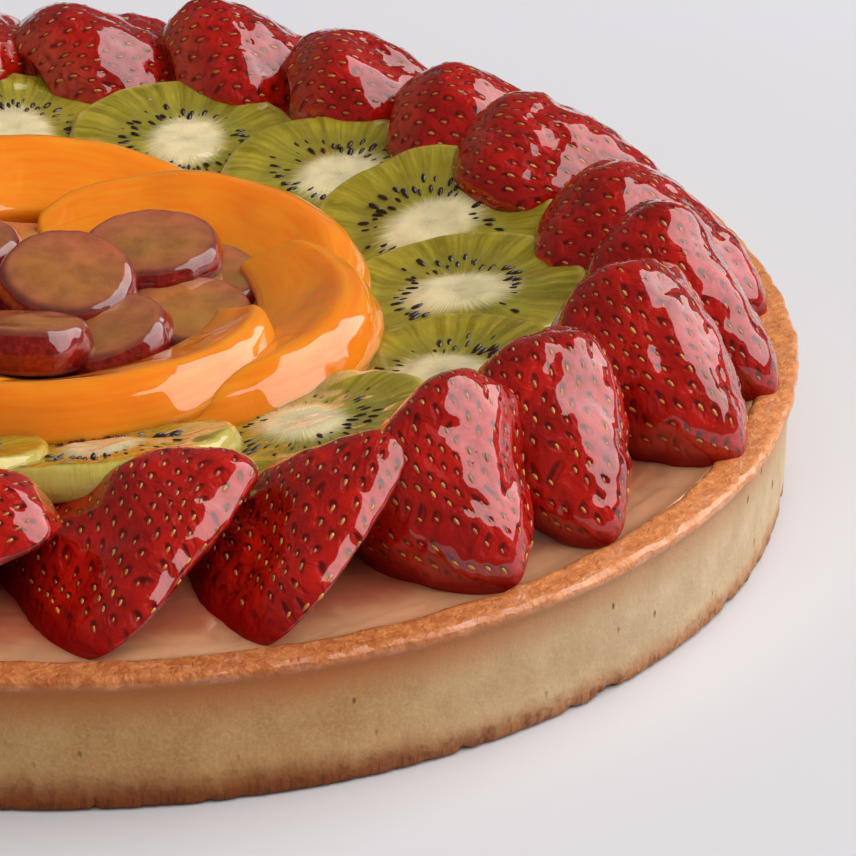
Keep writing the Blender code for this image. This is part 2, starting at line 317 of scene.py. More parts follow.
def grow(item, tree, inputs):
    """Run a node tree on a piece with the named inputs and keep the result as its mesh."""
    modifier = item.modifiers.new(tree.name, "NODES")
    modifier.node_group = tree
    for socket in tree.interface.items_tree:
        if socket.item_type == "SOCKET" and socket.in_out == "INPUT" and socket.name in inputs:
            modifier[socket.identifier] = inputs[socket.name]
    return plain(item)


def ramp_out(values, low, high):
    share = np.clip((values - low) / (high - low), 0, 1)
    return share * share * (3 - 2 * share)


# ---------------------------------------------------------------- baked shell

def turned_shell_tree():
    """A tree that turns an outline about the Z axis and gives the skin a baker's unevenness."""
    wires, given, result = new_group(
        "turned shell",
        "GeometryNodeTree",
        {
            "Outline": ("NodeSocketGeometry", None),
            "Sides": ("NodeSocketInt", 600),
            "Wobble": ("NodeSocketFloat", 0.0),
            "Lumps": ("NodeSocketFloat", 0.0),
            "Foot height": ("NodeSocketFloat", 0.0),
            "Foot cracks": ("NodeSocketFloat", 0.0),
            "Rim height": ("NodeSocketFloat", 1.0),
            "Rim width": ("NodeSocketFloat", 1.0),
            "Rim bubbles": ("NodeSocketFloat", 0.0),
            "Rim waves": ("NodeSocketFloat", 0.0),
            "Ridges": ("NodeSocketFloat", 0.0),
            "Seed": ("NodeSocketFloat", 0.0),
            "Material": ("NodeSocketMaterial", None),
        },
        {"Shell": "NodeSocketGeometry"},
    )
    sizes = wires.node("GeometryNodeAttributeDomainSize", None, {"Geometry": given["Outline"]})
    rows = sizes.outputs["Point Count"]
    columns = wires.math("ADD", given["Sides"], 1)
    grid = wires.node("GeometryNodeMeshGrid", None, {"Vertices X": columns, "Vertices Y": rows})
    index = wires.node("GeometryNodeInputIndex").outputs[0]
    column = wires.math("FLOOR", wires.math("DIVIDE", wires.math("ADD", index, 0.5), rows))
    row = wires.math("SUBTRACT", index, wires.math("MULTIPLY", column, rows))
    picked = wires.node("GeometryNodeSampleIndex", {"data_type": "FLOAT_VECTOR", "domain": "POINT"})
    wires.put(picked.inputs["Geometry"], given["Outline"])
    wires.put(picked.inputs["Value"], wires.node("GeometryNodeInputPosition").outputs[0])
    wires.put(picked.inputs["Index"], row)
    radius, _, height = wires.split(picked.outputs[0])
    turn = wires.math("MULTIPLY", wires.math("DIVIDE", column, given["Sides"]), math.tau)
    across, along = wires.math("COSINE", turn), wires.math("SINE", turn)
    place = wires.join(wires.math("MULTIPLY", across, radius), wires.math("MULTIPLY", along, radius), height)
    seeded = wires.vector("ADD", place, wires.join(given["Seed"], given["Seed"], given["Seed"]))

    def bumps(size, detail=2.0, vector=seeded):
        value = wires.noise(vector, 1 / size, detail, 0.55)
        return wires.math("MULTIPLY", wires.math("SUBTRACT", value, 0.5), 2.0)

    outer = wires.ramp(radius, 0.08, 0.12)
    rim = wires.ramp(height, wires.math("SUBTRACT", given["Rim height"], 3.2 * MM), given["Rim height"])
    rim = wires.math("MULTIPLY", rim, wires.ramp(radius, wires.math("SUBTRACT", given["Rim width"], 1.5 * MM),
                                                 wires.math("ADD", given["Rim width"], 0.8 * MM)))
    foot = wires.math("SUBTRACT", 1.0, wires.ramp(height, 0.0, given["Foot height"]))
    circle = wires.join(across, along, given["Seed"])
    wobble = wires.math("MULTIPLY", bumps(0.9, 1.0, circle), given["Wobble"])
    uneven = wires.math("ADD", bumps(14 * MM), wires.math("MULTIPLY", bumps(4.5 * MM), 0.45))
    uneven = wires.math("MULTIPLY", uneven, given["Lumps"])
    column_vector = wires.join(wires.math("MULTIPLY", across, 0.13), wires.math("MULTIPLY", along, 0.13), given["Seed"])
    notch = wires.ramp(wires.noise(column_vector, 1 / (5 * MM), 1.0, 0.6), 0.54, 0.70)
    hair = wires.ramp(wires.noise(column_vector, 1 / (1.9 * MM), 0.0, 0.5), 0.5, 0.75)
    crack = wires.math("ADD", wires.math("MULTIPLY", notch, 1.0), wires.math("MULTIPLY", hair, 0.5))
    crack = wires.math("MULTIPLY", wires.math("MULTIPLY", crack, foot), given["Foot cracks"])
    waves = wires.math("MULTIPLY", wires.math("MULTIPLY", bumps(7 * MM), given["Rim waves"]), rim)
    sideways = wires.math("ADD", wires.math("ADD", wobble, uneven), wires.math("SUBTRACT", waves, crack))
    sideways = wires.math("MULTIPLY", sideways, outer)
    bubbles = wires.math("ADD", bumps(2.6 * MM, 2.0), wires.math("MULTIPLY", bumps(9 * MM, 1.0), 0.8))
    bubbles = wires.math("MULTIPLY", wires.math("MULTIPLY", bubbles, given["Rim bubbles"]), rim)
    lift = wires.math("MULTIPLY", wires.math("MULTIPLY", notch, foot), wires.math("MULTIPLY", given["Foot cracks"], 0.7))
    lift = wires.math("MULTIPLY", lift, outer)
    far = wires.math("ADD", radius, wires.math("MULTIPLY", bumps(40 * MM, 1.0), 2.5 * MM))
    ridge = wires.math("PINGPONG", far, 2.3 * MM)
    ridge = wires.ramp(ridge, 0.5 * MM, 1.9 * MM)
    ridge = wires.math("MULTIPLY", wires.math("MULTIPLY", ridge, given["Ridges"]),
                       wires.ramp(height, wires.math("SUBTRACT", given["Rim height"], 3 * MM),
                                  wires.math("SUBTRACT", given["Rim height"], 2 * MM)))
    upwards = wires.math("ADD", wires.math("ADD", bubbles, lift), ridge)
    offset = wires.join(wires.math("MULTIPLY", across, sideways), wires.math("MULTIPLY", along, sideways), upwards)
    shaped = wires.node("GeometryNodeSetPosition", None, {"Geometry": grid.outputs["Mesh"], "Position": place, "Offset": offset})
    merged = wires.node("GeometryNodeMergeByDistance", None, {"Geometry": shaped.outputs[0], "Distance": 0.005 * MM})
    smooth = wires.node("GeometryNodeSetShadeSmooth", None, {"Geometry": merged.outputs[0]})
    real = wires.node("GeometryNodeRealizeInstances", None, {"Geometry": smooth.outputs[0]})
    dressed = wires.node("GeometryNodeSetMaterial", None, {"Geometry": real.outputs[0], "Material": given["Material"]})
    wires.put(result["Shell"], dressed.outputs[0])
    return wires.tree


def outline_object(name, outline):
    points = np.array([(radius, 0.0, height) for radius, height in outline])
    return add_object(name, points, [], None, smooth=False)


def spaced(first, last, count):
    """Points of an outline from the first towards the last, without the last."""
    share = np.arange(count)[:, None] / count
    return [tuple(point) for point in np.array(first) + (np.array(last) - np.array(first)) * share]


def crust_outline():
    lip_bottom = CRUST_HEIGHT - LIP_DEPTH
    outline = [(0.0, 0.0), (60 * MM, 0.0), (110 * MM, 0.0), (124 * MM, 0.0), (127.5 * MM, 0.0), (129 * MM, 0.05 * MM)]
    outline += [(129.9 * MM, 0.3 * MM), (WALL_RADIUS - 0.1 * MM, 0.8 * MM)]
    outline += spaced((WALL_RADIUS, 1.4 * MM), (WALL_RADIUS, lip_bottom - 0.4 * MM), 22)
    rounding = ((0.05, -0.3), (0.3, 0.25), (0.75, 0.8), (1.2, 1.35), (1.45, 1.95), (1.5, 2.5), (1.3, 2.95), (0.9, 3.25))
    outline += [(WALL_RADIUS + out * MM, lip_bottom + up * MM) for out, up in rounding]
    outline += spaced((LIP_RADIUS - 1.2 * MM, CRUST_HEIGHT - 0.05 * MM), (RIM_RADIUS + 0.9 * MM, CRUST_HEIGHT - 0.05 * MM), 8)
    outline += [(RIM_RADIUS + 0.8 * MM, CRUST_HEIGHT - 0.15 * MM), (RIM_RADIUS + 0.35 * MM, CRUST_HEIGHT - 0.5 * MM)]
    outline += [(RIM_RADIUS + 0.1 * MM, CRUST_HEIGHT - 1.0 * MM), (RIM_RADIUS, CRUST_HEIGHT - 1.7 * MM)]
    outline += [(RIM_RADIUS, 20 * MM), (RIM_RADIUS, 5 * MM), (60 * MM, 5 * MM), (0.0, 5 * MM)]
    return outline


def custard_outline():
    edge = RIM_RADIUS - 0.1 * MM
    outline = [(0.0, 5.3 * MM), (60 * MM, 5.3 * MM), (edge, 5.3 * MM), (edge, 19 * MM)]
    outline += [(edge + 0.25 * MM, CUSTARD_HEIGHT + 0.75 * MM), (edge - 0.5 * MM, CUSTARD_HEIGHT + 0.5 * MM)]
    outline += [(edge - 1.2 * MM, CUSTARD_HEIGHT + 0.22 * MM), (edge - 2.2 * MM, CUSTARD_HEIGHT + 0.05 * MM)]
    outline += spaced((edge - 3 * MM, CUSTARD_HEIGHT), (85 * MM, CUSTARD_HEIGHT), 46)
    outline += spaced((85 * MM, CUSTARD_HEIGHT), (0.0, CUSTARD_HEIGHT), 20)
    outline += [(0.0, CUSTARD_HEIGHT)]
    return outline


# ---------------------------------------------------------------- strawberries

def berry_rows():
    chance = random.Random(3)
    rows = list(BERRIES)
    spacing = (rows[0][0] - rows[-1][0]) / (BERRY_COUNT - len(BERRIES) + 1)
    while len(rows) < BERRY_COUNT:
        angle = rows[-1][0] + spacing
        rows.append((angle, *(chance.uniform(*ends) for ends in BERRY_RANGES)))
    return rows


def berry_fullness(share, flank):
    """Width of a strawberry at a share of its length from the leaf end, of its full width."""
    back = np.clip((BERRY_SHOULDER - share) / BERRY_SHOULDER, 0, 1)
    onward = np.clip((share - BERRY_SHOULDER) / (1 - BERRY_SHOULDER), 0, 1)
    return np.where(share < BERRY_SHOULDER, 1 - (1 - BERRY_LEAF_SCAR) * back**2.4, (1 - onward**flank) ** BERRY_NOSE)


def berry_rings(length, width, height, bend, flank):
    """Rings of points from the leaf scar to the tip, the cut face below."""
    onward = np.arange(BERRY_ALONG) / BERRY_ALONG
    share = np.concatenate([np.zeros(4), 1 - (1 - onward) ** 1.5])
    scar = np.concatenate([(0.25, 0.5, 0.75, 0.92), np.ones(BERRY_ALONG)])
    dent = np.concatenate([(1.5, 1.3, 0.8, 0.2), np.zeros(BERRY_ALONG)]) * MM
    above = np.linspace(0, math.pi, BERRY_ROUND - BERRY_UNDER * 2 + 1)
    below = np.linspace(math.pi, math.tau, BERRY_UNDER * 2 + 1)[1:-1]
    turn = np.concatenate([above, below])
    fullness = berry_fullness(share, flank) * scar
    cosine, sine = np.cos(turn), np.sin(turn)
    across = np.sign(cosine) * np.abs(cosine) ** BERRY_SQUARE
    up = np.where(sine > 0, np.abs(sine) ** BERRY_SQUARE, -np.abs(sine) ** 0.5 * 1.5 * MM / height)
    rings = np.empty((len(share), len(turn), 3))
    rings[..., 0] = (-length * (1 - share) + dent)[:, None]
    rings[..., 1] = width / 2 * fullness[:, None] * across + (bend * (1 - share) ** 2)[:, None]
    rings[..., 2] = height * (fullness**0.9)[:, None] * up
    return rings, share


SEED_ACROSS = 3.5 * MM
SEED_ALONG = 2.9 * MM


def seed_lattice(rings, share, seed):
    """Staggered rows over a berry: how many seeds round and along each point lies."""
    ridge = (BERRY_ROUND - BERRY_UNDER * 2) // 2
    steps = np.linalg.norm(rings - np.roll(rings, 1, axis=1), axis=2)
    steps[:, 0] = 0
    around = np.cumsum(steps, axis=1)
    around = (around - around[:, ridge : ridge + 1]) / SEED_ACROSS
    paces = np.linalg.norm(np.diff(rings[:, ridge], axis=0), axis=1)
    along = np.concatenate([[0], np.cumsum(paces)]) / SEED_ALONG
    lattice = np.zeros(rings.shape)
    lattice[..., 0] = around + 0.45 * lumps(rings, 15 * MM, seed) + 0.24 * lumps(rings, 8 * MM, seed + 1)
    lattice[..., 1] = along[:, None] + 0.45 * lumps(rings, 15 * MM, seed + 2) + 0.24 * lumps(rings, 8 * MM, seed + 3)
    return lattice + 40


def lattice_offsets(lattice):
    """How far each point lies from the nearest seed, across and along, in spacings."""
    row = np.floor(lattice[..., 1])
    return (lattice[..., 0] + 0.5 * (row % 2)) % 1 - 0.5, lattice[..., 1] % 1 - 0.5


def slopes(rings):
    """Change of a value from row to row and from side to side."""
    return np.gradient(rings, axis=0), (np.roll(rings, -1, 1) - np.roll(rings, 1, 1)) / 2


def seed_places(rings, lattice):
    """Points where the seeds sit, with the directions outwards and towards the tip."""
    sides = BERRY_ROUND - BERRY_UNDER * 2
    inner = (slice(5, -2), slice(1, sides))
    by_row, by_side = slopes(rings)
    lattice_row, lattice_side = slopes(lattice)
    flat = lattice[inner].reshape(-1, 3)[:, :2]
    spots, tips, outs = [], [], []
    points, rows_, sides_ = (v[inner].reshape(-1, 3) for v in (rings, by_row, by_side))
    slope_row, slope_side = (v[inner].reshape(-1, 3)[:, :2] for v in (lattice_row, lattice_side))
    for j in range(int(flat[:, 1].min()), int(flat[:, 1].max()) + 1):
        for i in range(int(flat[:, 0].min()), int(flat[:, 0].max()) + 2):
            target = np.array((i + 0.5 - 0.5 * (j % 2), j + 0.5))
            k = int(np.argmin(((flat - target) ** 2).sum(1)))
            missing = target - flat[k]
            if np.abs(missing).max() > 0.25:
                continue
            steps = np.linalg.solve(np.array((slope_row[k], slope_side[k])).T, missing)
            steps = np.clip(steps, -1, 1)
            spots.append(points[k] + steps[0] * rows_[k] + steps[1] * sides_[k])
            out = unit(np.cross(rows_[k], sides_[k]))
            centre = np.array((points[k][0], rings[..., 1].mean(), 0))
            outs.append(out if out @ (points[k] - centre) > 0 else -out)
            tips.append(unit(rows_[k]))
    return np.array(spots), np.array(outs), np.array(tips)


def add_berries(material):
    """The halved strawberries. Also returns where their seeds sit."""
    berries, spots, outs, tips = [], [], [], []
    for k, (angle, radius, length, width, height, yaw, pitch, roll, bend, flank) in enumerate(berry_rows()):
        rings, share = berry_rings(length * MM, width * MM, height * MM, bend * MM, flank)
        full = berry_fullness(share, flank)[:, None]
        middle = (bend * MM * (1 - share) ** 2)[:, None]
        seed = 100 * k
        outward = unit(np.stack([np.zeros(rings.shape[:2]), rings[..., 1] - middle, rings[..., 2] + 1 * MM], -1))
        top = ramp_out(rings[..., 2], 0.0, 3 * MM)
        swell = lumps(rings, 17 * MM, seed + 7) * 0.9 * MM + lumps(rings, 6 * MM, seed + 8) * 0.34 * MM
        rings = rings + outward * (swell * np.minimum(1, full * 1.5))[..., None]
        lattice = seed_lattice(rings, share, seed)
        across, along = lattice_offsets(lattice)
        dip = np.exp(-((across * SEED_ACROSS) ** 2 + (along * SEED_ALONG) ** 2 * 0.8) / (1.15 * MM) ** 2)
        calm = np.ones(len(share))
        calm[:5] = 0
        rings = rings - outward * (dip * top * calm[:, None] * 0.16 * MM)[..., None]
        place = placement(polar(radius * MM, angle, BERRY_LEVEL), roll, pitch, angle + yaw)
        spot, out, tip = seed_places(rings, lattice)
        facts = np.zeros(rings.shape)
        facts[..., 0] = share[:, None]
        facts[..., 1] = rings[..., 2] / (height * MM)
        facts[..., 2] = k / BERRY_COUNT
        poles = np.array([rings[0].mean(0), rings[-1].mean(0) + np.array((0.2 * MM, 0, 0))])
        pole_facts = {"lattice": lattice[[0, -1], 5], "berry": facts[[0, -1], 5]}
        berries.append(
            skin(
                f"strawberry_{k + 1:02d}_detail",
                moved(rings, place),
                moved(poles, place),
                material,
                {"lattice": lattice, "berry": facts},
                pole_facts,
            )
        )
        spot = moved(spot, place)
        keep = (spot[:, 2] > CUSTARD_HEIGHT + 3.6 * MM)
        spots.append(spot[keep])
        outs.append(out[keep] @ place[:3, :3].T)
        tips.append(tip[keep] @ place[:3, :3].T)
    return berries, np.vstack(spots), np.vstack(outs), np.vstack(tips)


def seed_tree():
    """A tree that sets a teardrop seed on each point, flat side in and point along."""
    wires, given, result = new_group(
        "set seeds",
        "GeometryNodeTree",
        {
            "Places": ("NodeSocketGeometry", None),
            "Length": ("NodeSocketFloat", 1.6 * MM),
            "Width": ("NodeSocketFloat", 0.9 * MM),
            "Thickness": ("NodeSocketFloat", 0.6 * MM),
            "Taper": ("NodeSocketFloat", 0.4),
            "Sink": ("NodeSocketFloat", 0.0),
            "Segments": ("NodeSocketInt", 6),
            "Rings": ("NodeSocketInt", 4),
            "Seed": ("NodeSocketInt", 1),
            "Material": ("NodeSocketMaterial", None),
        },
        {"Seeds": "NodeSocketGeometry"},
    )
    ball = wires.node(
        "GeometryNodeMeshUVSphere", None, {"Segments": given["Segments"], "Rings": given["Rings"], "Radius": 0.5}
    )
    x, y, z = wires.split(wires.node("GeometryNodeInputPosition").outputs[0])
    slim = wires.math("SUBTRACT", 1.0, wires.math("MULTIPLY", wires.math("ADD", z, 0.5), given["Taper"]))
    drop = wires.join(
        wires.math("MULTIPLY", wires.math("MULTIPLY", x, given["Thickness"]), slim),
        wires.math("MULTIPLY", wires.math("MULTIPLY", y, given["Width"]), slim),
        wires.math("MULTIPLY", z, given["Length"]),
    )
    shaped = wires.node("GeometryNodeSetPosition", None, {"Geometry": ball.outputs["Mesh"], "Position": drop})

    def fact(name):
        made = wires.node("GeometryNodeInputNamedAttribute", {"data_type": "FLOAT_VECTOR"}, {"Name": name})
        return made.outputs[0]

    turn = wires.node(
        "FunctionNodeAxesToRotation",
        {"primary_axis": "X", "secondary_axis": "Z"},
        {"Primary Axis": fact("outward"), "Secondary Axis": fact("along")},
    )
    scale = wires.node("FunctionNodeRandomValue", {"data_type": "FLOAT"}, {"Seed": given["Seed"]})
    floats = [socket for socket in scale.inputs if socket.type == "VALUE"]
    floats[0].default_value, floats[1].default_value = 0.7, 1.15
    size = next(socket for socket in scale.outputs if socket.type == "VALUE")
    sunk = wires.vector("SCALE", fact("outward"), wires.math("MULTIPLY", given["Sink"], -1))
    lowered = wires.node("GeometryNodeSetPosition", None, {"Geometry": given["Places"], "Offset": sunk})
    sown = wires.node(
        "GeometryNodeInstanceOnPoints",
        None,
        {
            "Points": lowered.outputs[0],
            "Instance": shaped.outputs[0],
            "Rotation": turn.outputs[0],
            "Scale": size,
        },
    )
    real = wires.node("GeometryNodeRealizeInstances", None, {"Geometry": sown.outputs[0]})
    smooth = wires.node("GeometryNodeSetShadeSmooth", None, {"Geometry": real.outputs[0]})
    dressed = wires.node("GeometryNodeSetMaterial", None, {"Geometry": smooth.outputs[0], "Material": given["Material"]})
    wires.put(result["Seeds"], dressed.outputs[0])
    return wires.tree


# ---------------------------------------------------------------- kiwi, peach and grape slices

def slice_rings(radius, thickness, stretch, bulge, edge, sides, waves, seed, corner=0.9 * MM):
    """Rings of a thick slice from the middle of its lower face to the middle of its upper face."""
    turn = np.linspace(0, math.tau, sides, endpoint=False)
    half = thickness / 2
    face = radius - corner - bulge * thickness
    rows = [(share * face, -half) for share in (0.3, 0.6, 0.85, 0.97)]
    for k in range(edge + 1):
        lean = math.pi * (k / edge - 0.5)
        rows.append((face + corner * abs(math.cos(lean)) ** 0.7
                     + bulge * thickness * (1 - abs(math.sin(lean))), half * math.sin(lean)))
    rows += [(share * face, half) for share in np.linspace(0.97, 0.06, 22)]
    rings = np.empty((len(rows), sides, 3))
    circle = np.stack([np.cos(turn), np.sin(turn) * stretch, np.zeros(sides)], -1)
    uneven = 1 + waves * (lumps(circle * 20 * MM, 16 * MM, seed) + 0.35 * lumps(circle * 20 * MM, 5 * MM, seed + 1))
    for k, (reach, level) in enumerate(rows):
        share = reach / radius
        rings[k] = circle * reach * (1 + (uneven - 1) * share)[:, None]
        rings[k, :, 2] = level
    return rings


def disc_facts(rings, radius):
    return rings / radius


def kiwi_places():
    chance = random.Random(5)
    for k, (angle, ring, level, roll, pitch) in enumerate(KIWIS):
        radius = KIWI_RADIUS * chance.uniform(0.97, 1.03)
        yield k, radius, chance.uniform(0.94, 1.0), placement(polar(ring * MM, angle, level * MM), roll, pitch, angle)


def kiwi_flesh(rings, radius, seed):
    """Level of the cut face: a sunken seed ring round a firm core."""
    share = np.linalg.norm(rings[..., :2], axis=-1) / radius
    sunk = ramp_out(share, 0.22, 0.36) * (1 - ramp_out(share, 0.58, 0.78))
    top = ramp_out(rings[..., 2], 0, 2.4 * MM)
    level = -0.55 * MM * sunk + 0.3 * MM * lumps(rings, 12 * MM, seed) + 0.12 * MM * lumps(rings, 4 * MM, seed + 1)
    return level * top


def add_kiwis(material):
    kiwis, spots, outs, tips = [], [], [], []
    chance = np.random.default_rng(11)
    for k, radius, stretch, place in kiwi_places():
        rings = slice_rings(radius, KIWI_THICKNESS, stretch, 0.12, 8, 120, 0.018, 500 + 10 * k)
        rings[..., 2] += kiwi_flesh(rings, radius, 505 + 10 * k)
        facts = disc_facts(rings, radius)
        facts[..., 2] = k / len(KIWIS)
        poles = np.array([rings[0].mean(0), rings[-1].mean(0)])
        kiwis.append(
            skin(
                f"kiwi_{k + 1:02d}_detail",
                moved(rings, place),
                moved(poles, place),
                material,
                {"slice": facts, "level": rings},
                {"slice": facts[[0, -1]].mean(1), "level": poles},
            )
        )
        count = 62
        turn = (np.arange(count) + chance.uniform(-0.35, 0.35, count)) * math.tau / count
        share = np.where(np.arange(count) % 2, chance.uniform(0.36, 0.47, count), chance.uniform(0.44, 0.60, count))
        share *= 1 - 0.08 * np.cos(turn * 2)
        spot = np.stack([np.cos(turn) * share, np.sin(turn) * share * stretch, np.zeros(count)], -1) * radius
        spot[:, 2] = KIWI_THICKNESS / 2 - 0.5 * MM + chance.uniform(-0.25, 0.1, count) * MM
        spots.append(moved(spot, place))
        lean = np.array((0.0, 0.0, 1.0)) + chance.uniform(-0.25, 0.25, (count, 3))
        outs.append(unit(lean) @ place[:3, :3].T)
        tips.append(-unit(spot * (1, 1, 0)) @ place[:3, :3].T)
    return kiwis, np.vstack(spots), np.vstack(outs), np.vstack(tips)


def add_peaches(material):
    peaches = []
    section = np.array(PEACH_SECTION)
    sides, rows = 56, 110
    for k, (low, high, low_radius, high_radius, end_size, lift) in enumerate(PEACHES):
        outline = rounded(section, sides)
        rings = np.empty((rows, sides, 3))
        facts = np.zeros(rings.shape)
        for row in range(rows):
            share = (1 - math.cos(math.pi * (row + 0.5) / rows)) / 2
            angle = math.radians(low + (high - low) * share)
            inner = (low_radius + (high_radius - low_radius) * share**2) * MM
            least = 0.3 if share < 0.5 else end_size
            size = least + (1 - least) * math.sin(math.pi * share) ** 0.7
            closing = min(1, math.sqrt(max(0, 1 - (1 - min(share, 1 - share) / 0.02) ** 2))) if min(share, 1 - share) < 0.02 else 1
            shape = (outline - (0.5, 0.4)) * closing + (0.5, 0.4)
            reach = inner + shape[:, 0] * size * PEACH_WIDTH
            rings[row, :, 0] = reach * math.cos(angle)
            rings[row, :, 1] = reach * math.sin(angle)
            rings[row, :, 2] = PEACH_LEVEL + lift * MM * share**2.5 + shape[:, 1] * size * PEACH_HEIGHT
            facts[row] = np.stack([np.full(sides, share * abs(high - low) / 60), shape[:, 0], shape[:, 1]], -1)
        centre = rings.mean(1, keepdims=True)
        rings += unit(rings - centre) * (lumps(rings, 16 * MM, 900 + k) * 0.4 * MM + lumps(rings, 6 * MM, 930 + k) * 0.07 * MM)[..., None]
        rings += PEACH_CENTRE
        poles = np.array([rings[0].mean(0), rings[-1].mean(0)])
        peaches.append(
            skin(f"peach_{k + 1:02d}_detail", rings, poles, material, {"slice": facts}, {"slice": facts[[0, -1]].mean(1)})
        )
    return peaches


def rounded(corners, count):
    """A closed outline through corners, softened, as evenly spaced points."""
    for cut in (0.1, 0.25, 0.25):
        after = np.roll(corners, -1, axis=0)
        corners = np.stack([corners * (1 - cut) + after * cut, corners * cut + after * (1 - cut)], 1).reshape(-1, 2)
    closed = np.vstack([corners, corners[:1]])
    walked = np.concatenate([[0], np.cumsum(np.linalg.norm(np.diff(closed, axis=0), axis=1))])
    marks = np.linspace(0, walked[-1], count, endpoint=False)
    return np.stack([np.interp(marks, walked, closed[:, k]) for k in (0, 1)], -1)


def add_grapes(material):
    grapes = []
    for k, (across, along, level, radius, thickness, slope, towards) in enumerate(GRAPES):
        radius, thickness = radius * MM, thickness * MM
        rings = slice_rings(radius, thickness, 1.0, 0.1, 16, 88, 0.03, 700 + 10 * k, 1.9 * MM)
        share = np.linalg.norm(rings[..., :2], axis=-1) / radius
        top = ramp_out(rings[..., 2], 0, 2.4 * MM)
        rings[..., 2] += top * (0.35 * MM * (1 - share**2) + 0.15 * MM * lumps(rings, 7 * MM, 705 + k))
        facts = disc_facts(rings, radius)
        facts[..., 2] = rings[..., 2] / thickness
        place = placement(np.array((across, along, level)) * MM, 0, slope, towards)
        poles = np.array([rings[0].mean(0), rings[-1].mean(0)])
        numbers = np.full(rings.shape, k / len(GRAPES))
        numbers[..., 1] = (moved(rings, place)[..., 1] - along * MM) / radius
        grapes.append(
            skin(
                f"grape_{k + 1:02d}_detail",
                moved(rings, place),
                moved(poles, place),
                material,
                {"slice": facts, "number": numbers},
                {"slice": facts[[0, -1]].mean(1), "number": numbers[[0, -1], 0]},
            )
        )
    return grapes


def sow(name, tree, spots, outs, tips, inputs, material):
    """Seeds on the given points as one plain piece."""
    item = add_object(name, spots, [], None, {"outward": outs, "along": tips}, smooth=False)
    return grow(item, tree, {**inputs, "Material": material})


# ---------------------------------------------------------------- finishes

def new_finish(name, **settings):
    """A material with its Principled shader's constant sockets set. Returns it, its wires and shader."""
    material = bpy.data.materials.new(name)
    material.use_nodes = True
    wires = Wires(material.node_tree)
    shader = material.node_tree.nodes["Principled BSDF"]
    for socket, value in settings.items():
        shader.inputs[socket.replace("_", " ")].default_value = value
    return material, wires, shader.inputs


def object_place(wires):
    return wires.node("ShaderNodeTexCoord").outputs["Object"]


def fact(wires, name):
    return wires.node("ShaderNodeAttribute", {"attribute_name": name}).outputs["Vector"]


def bumped(wires, *layers):
    """Normals from heights in metres, each layer on top of the one before."""
    normal = None
    for height in layers:
        made = wires.node("ShaderNodeBump", None, {"Strength": 1.0, "Distance": 1.0, "Height": height})
        if normal:
            wires.put(made.inputs["Normal"], normal)
        normal = made.outputs["Normal"]
    return normal


def glaze_ripple_group():
    """Height of the uneven glaze that lies on all the fruit."""
    wires, given, result = new_group(
        "glaze ripple",
        "ShaderNodeTree",
        {
            "Vector": ("NodeSocketVector", None),
            "Size": ("NodeSocketFloat", 4 * MM),
            "Depth": ("NodeSocketFloat", 0.1 * MM),
        },
        {"Height": "NodeSocketFloat"},
    )
    scale = wires.math("DIVIDE", 1.0, given["Size"])
    broad = wires.noise(given["Vector"], scale, 2.5, 0.5, 0.6)
    wires.put(result["Height"], wires.math("MULTIPLY", wires.math("SUBTRACT", broad, 0.5), given["Depth"]))
    return wires.tree


def mottle_group():
    """A colour varied between a darker and a lighter tone in soft spots."""
    wires, given, result = new_group(
        "mottle",
        "ShaderNodeTree",
        {
            "Vector": ("NodeSocketVector", None),
            "Colour": ("NodeSocketColor", (1, 1, 1, 1)),
            "Size": ("NodeSocketFloat", 5 * MM),
            "Dark": ("NodeSocketFloat", 0.9),
            "Light": ("NodeSocketFloat", 1.1),
        },
        {"Colour": "NodeSocketColor"},
    )
    scale = wires.math("DIVIDE", 1.0, given["Size"])
    value = wires.ramp(wires.noise(given["Vector"], scale, 3.0, 0.55), 0.32, 0.68)
    tone = wires.math("ADD", given["Dark"], wires.math("MULTIPLY", value, wires.math("SUBTRACT", given["Light"], given["Dark"])))
    wires.put(result["Colour"], wires.vector("SCALE", given["Colour"], tone))
    return wires.tree


